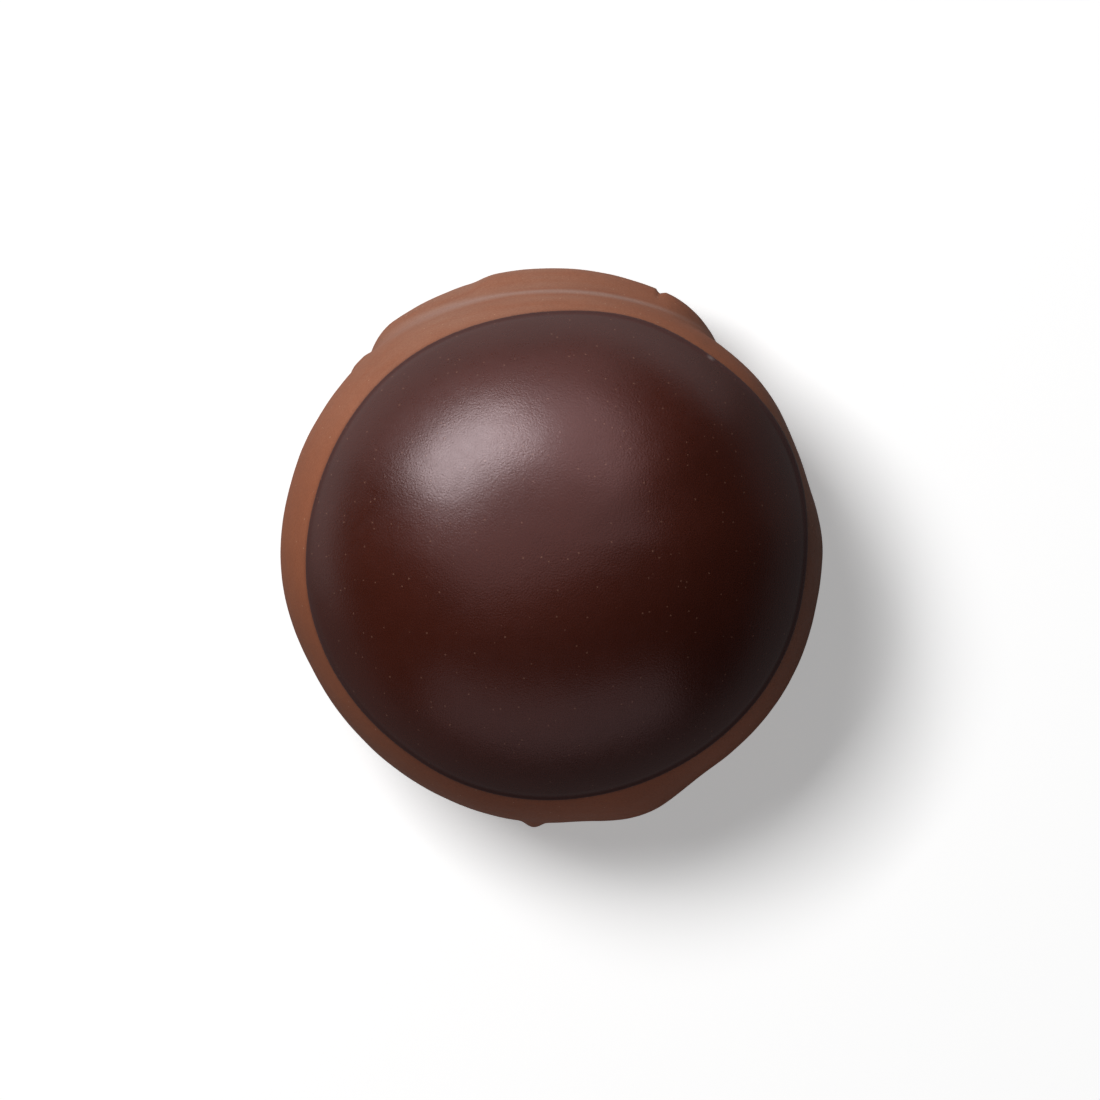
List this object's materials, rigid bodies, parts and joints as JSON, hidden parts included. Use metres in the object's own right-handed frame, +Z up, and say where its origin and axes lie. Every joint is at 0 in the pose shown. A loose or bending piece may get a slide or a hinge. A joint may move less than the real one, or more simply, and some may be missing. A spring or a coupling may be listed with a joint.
{
  "type": "chocolate truffle",
  "caption": "Round milk chocolate truffle with a smooth dark chocolate cap over its crown and an uneven coat that ran down to its foot.",
  "frame": {"origin": "middle of the flat base, on the surface that the truffle stands on", "axes": "+Z up through the crown; +X and +Y lie on that surface, with the run of coat that has a ledge on the +Y side"},
  "size_m": [0.03, 0.0312, 0.0252],
  "materials": {
    "milk_chocolate": "satin milk chocolate, slightly dull where it set",
    "dark_chocolate": "satin tempered dark chocolate"
  },
  "bodies": {
    "root": {"milk_coat": "milk_chocolate", "dark_cap": "dark_chocolate"}
  },
  "joints": []
}
